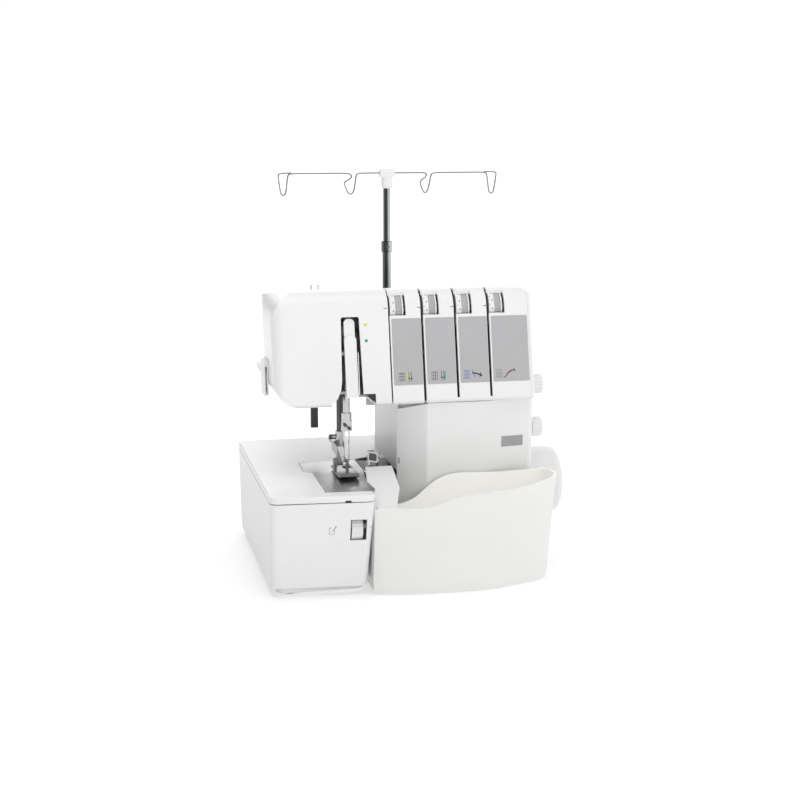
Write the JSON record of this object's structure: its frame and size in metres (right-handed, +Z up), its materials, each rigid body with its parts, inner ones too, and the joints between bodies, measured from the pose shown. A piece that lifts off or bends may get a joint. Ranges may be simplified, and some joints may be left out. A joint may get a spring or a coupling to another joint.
{
  "type": "overlock serger machine",
  "caption": "White domestic overlock serger with a low cloth bed, overhanging head with tension dials, front trim tray, side handwheel and telescopic thread stand.",
  "frame": {"origin": "bottom centre of the overall box, on the table under the machine", "axes": "+Z up, -Y towards the operator, +X towards the handwheel end"},
  "size_m": [0.336, 0.2964, 0.409],
  "materials": {
    "white_gloss": "glossy white moulded plastic",
    "white_tray": "warm white moulded plastic",
    "grey_panel": "printed grey label film",
    "grey_dark": "dark grey plastic",
    "black_plastic": "black plastic",
    "chrome": "polished",
    "steel": "brushed",
    "aluminium": "cast",
    "rubber": "matt black"
  },
  "bodies": {
    "machine": {"base_plate": "white_gloss", "base_feet": "rubber", "bed_cover": "white_gloss", "needle_plate": "steel", "lower_knife": "steel", "shaft_bearings": "steel", "motor": "black_plastic", "drive_belt": "rubber", "head_front_cover": "white_gloss", "tension_housing": "white_gloss", "rear_cover": "white_gloss", "right_side_cover": "white_gloss", "column_cover": "white_gloss", "scrap_chute": "white_gloss", "tension_label_panels": "grey_panel", "takeup_cover": "white_gloss", "spool_stand": "white_gloss", "spool_pins": "chrome", "power_inlet": "black_plastic", "pivot_pins": "steel", "tension_units": "steel", "pole_lower": "chrome", "frame_casting": "aluminium", "thread_cutter": "white_gloss", "fixing_screws": "steel", "cone_holders": "white_gloss"},
    "cutting_width_dial": {"cutting_width_dial": "white_gloss"},
    "cloth_plate": {"cloth_plate": "white_gloss"},
    "cloth_plate_catch": {"cloth_plate_catch": "black_plastic"},
    "drive_shaft": {"main_shaft": "steel", "drive_pulley": "aluminium", "handwheel": "white_gloss"},
    "motor_pulley": {"motor_pulley": "steel"},
    "cover_carriage": {"looper_cover_hinge_rod": "steel"},
    "looper_cover": {"looper_cover": "white_gloss"},
    "trim_tray": {"trim_tray": "white_tray"},
    "tension_dial_1": {"tension_dial_1": "white_gloss"},
    "tension_dial_2": {"tension_dial_2": "white_gloss"},
    "tension_dial_3": {"tension_dial_3": "white_gloss"},
    "tension_dial_4": {"tension_dial_4": "white_gloss"},
    "thread_takeup_lever": {"thread_takeup_lever": "chrome"},
    "needle_bar": {"needle_bar": "chrome", "needle_clamp": "steel", "needles": "chrome"},
    "presser_bar": {"presser_bar": "chrome", "presser_spring": "steel", "presser_holder": "steel"},
    "presser_foot": {"presser_foot": "chrome"},
    "lifter_lever": {"lifter_lever": "grey_dark"},
    "upper_looper": {"upper_looper": "chrome"},
    "lower_looper": {"lower_looper": "chrome"},
    "knife": {"knife_holder": "steel", "upper_knife": "steel"},
    "feed_dogs": {"feed_dogs": "steel"},
    "stitch_length_knob": {"stitch_length_knob": "white_gloss"},
    "differential_feed_knob": {"differential_feed_knob": "white_gloss"},
    "pole_upper": {"pole_upper": "chrome"},
    "thread_guide": {"guide_hub": "white_gloss", "thread_guide_wire": "chrome"},
    "power_switch": {"power_switch": "black_plastic"}
  },
  "joints": [
    {"name": "handwheel_turn", "type": "hinge", "parent": "machine", "child": "drive_shaft", "pos_m": [0, 0.015, 0.072], "axis": [1, 0, 0], "continuous": true},
    {"name": "motor_turn", "type": "hinge", "parent": "machine", "child": "motor_pulley", "pos_m": [0, 0.072, 0.046], "axis": [1, 0, 0], "continuous": true},
    {"name": "needle_bar_stroke", "type": "slide", "parent": "machine", "child": "needle_bar", "axis": [0, 0, 1], "range_m": [-0.024, 0]},
    {"name": "takeup_lever_swing", "type": "hinge", "parent": "machine", "child": "thread_takeup_lever", "pos_m": [-0.0648, -0.03, 0.212], "axis": [1, 0, 0], "range_deg": [-4, 20]},
    {"name": "upper_looper_swing", "type": "hinge", "parent": "machine", "child": "upper_looper", "pos_m": [-0.044, -0.037, 0.088], "axis": [0, 1, 0], "range_deg": [-10, 0.2]},
    {"name": "lower_looper_swing", "type": "hinge", "parent": "machine", "child": "lower_looper", "pos_m": [-0.052, -0.029, 0.07], "axis": [0, 1, 0], "range_deg": [-12, 0.2]},
    {"name": "knife_stroke", "type": "slide", "parent": "machine", "child": "knife", "axis": [0, 0, 1], "range_m": [-0.008, 0.0001]},
    {"name": "feed_dog_travel", "type": "slide", "parent": "machine", "child": "feed_dogs", "axis": [0, 1, 0], "range_m": [-0.0001, 0.0035]},
    {"name": "presser_lift", "type": "slide", "parent": "machine", "child": "presser_bar", "axis": [0, 0, 1], "range_m": [0, 0.005], "stiffness_N_per_m": 60, "springref_m": -0.01, "deforming": ["presser_spring"]},
    {"name": "presser_foot_tilt", "type": "hinge", "parent": "presser_bar", "child": "presser_foot", "pos_m": [-0.084, -0.056, 0.12], "axis": [1, 0, 0], "range_deg": [-2, 2]},
    {"name": "lifter_lever_swing", "type": "hinge", "parent": "machine", "child": "lifter_lever", "pos_m": [-0.095, 0.041, 0.192], "axis": [0, 1, 0], "range_deg": [-55, 0]},
    {"name": "cloth_plate_slide", "type": "slide", "parent": "machine", "child": "cloth_plate", "axis": [-1, 0, 0], "range_m": [0, 0.05]},
    {"name": "cloth_plate_catch_press", "type": "slide", "parent": "cloth_plate", "child": "cloth_plate_catch", "axis": [0, 1, 0], "range_m": [0, 0.0014], "stiffness_N_per_m": 150, "springref_m": -0.001},
    {"name": "cutting_width_turn", "type": "hinge", "parent": "machine", "child": "cutting_width_dial", "pos_m": [-0.082, -0.1245, 0.07], "axis": [1, 0, 0], "range_deg": [-60, 60]},
    {"name": "tension_1_turn", "type": "hinge", "parent": "machine", "child": "tension_dial_1", "pos_m": [-0.024, -0.0258, 0.27], "axis": [1, 0, 0], "range_deg": [-120, 160]},
    {"name": "tension_2_turn", "type": "hinge", "parent": "machine", "child": "tension_dial_2", "pos_m": [0.011, -0.0258, 0.27], "axis": [1, 0, 0], "range_deg": [-120, 160]},
    {"name": "tension_3_turn", "type": "hinge", "parent": "machine", "child": "tension_dial_3", "pos_m": [0.046, -0.0258, 0.27], "axis": [1, 0, 0], "range_deg": [-120, 160]},
    {"name": "tension_4_turn", "type": "hinge", "parent": "machine", "child": "tension_dial_4", "pos_m": [0.081, -0.0258, 0.27], "axis": [1, 0, 0], "range_deg": [-120, 160]},
    {"name": "stitch_length_turn", "type": "hinge", "parent": "machine", "child": "stitch_length_knob", "pos_m": [0.125, -0.028, 0.187], "axis": [1, 0, 0], "range_deg": [-135, 135]},
    {"name": "differential_feed_turn", "type": "hinge", "parent": "machine", "child": "differential_feed_knob", "pos_m": [0.125, -0.028, 0.141], "axis": [1, 0, 0], "range_deg": [-135, 135]},
    {"name": "looper_cover_shift", "type": "slide", "parent": "machine", "child": "cover_carriage", "axis": [1, 0, 0], "range_m": [0, 0.006]},
    {"name": "looper_cover_hinge", "type": "hinge", "parent": "cover_carriage", "child": "looper_cover", "pos_m": [0.05, -0.05, 0.028], "axis": [1, 0, 0], "range_deg": [0, 75]},
    {"name": "trim_tray_pull", "type": "slide", "parent": "machine", "child": "trim_tray", "axis": [0, -1, 0], "range_m": [0, 0.165]},
    {"name": "pole_telescope", "type": "slide", "parent": "machine", "child": "pole_upper", "axis": [0, 0, -1], "range_m": [0, 0.056]},
    {"name": "thread_guide_swivel", "type": "hinge", "parent": "pole_upper", "child": "thread_guide", "pos_m": [-0.0022, 0.1, 0.4045], "axis": [0, 0, 1], "range_deg": [-90, 90]},
    {"name": "power_switch_rock", "type": "hinge", "parent": "machine", "child": "power_switch", "pos_m": [0.099, 0.1274, 0.042], "axis": [1, 0, 0], "range_deg": [0, 12]}
  ],
  "couplings": [
    {"joint": "motor_turn", "follows": "handwheel_turn", "ratio": 3.3333},
    {"joint": "takeup_lever_swing", "follows": "needle_bar_stroke", "rad_per_m": -11.636},
    {"joint": "upper_looper_swing", "follows": "needle_bar_stroke", "rad_per_m": 7.1268},
    {"joint": "lower_looper_swing", "follows": "needle_bar_stroke", "rad_per_m": 8.5812},
    {"joint": "knife_stroke", "follows": "needle_bar_stroke", "ratio": 0.33},
    {"joint": "feed_dog_travel", "follows": "needle_bar_stroke", "ratio": -0.14},
    {"joint": "lifter_lever_swing", "follows": "presser_lift", "rad_per_m": -190.24},
    {"joint": "trim_tray_pull", "follows": "looper_cover_hinge", "m_per_rad": 0.1232}
  ]
}
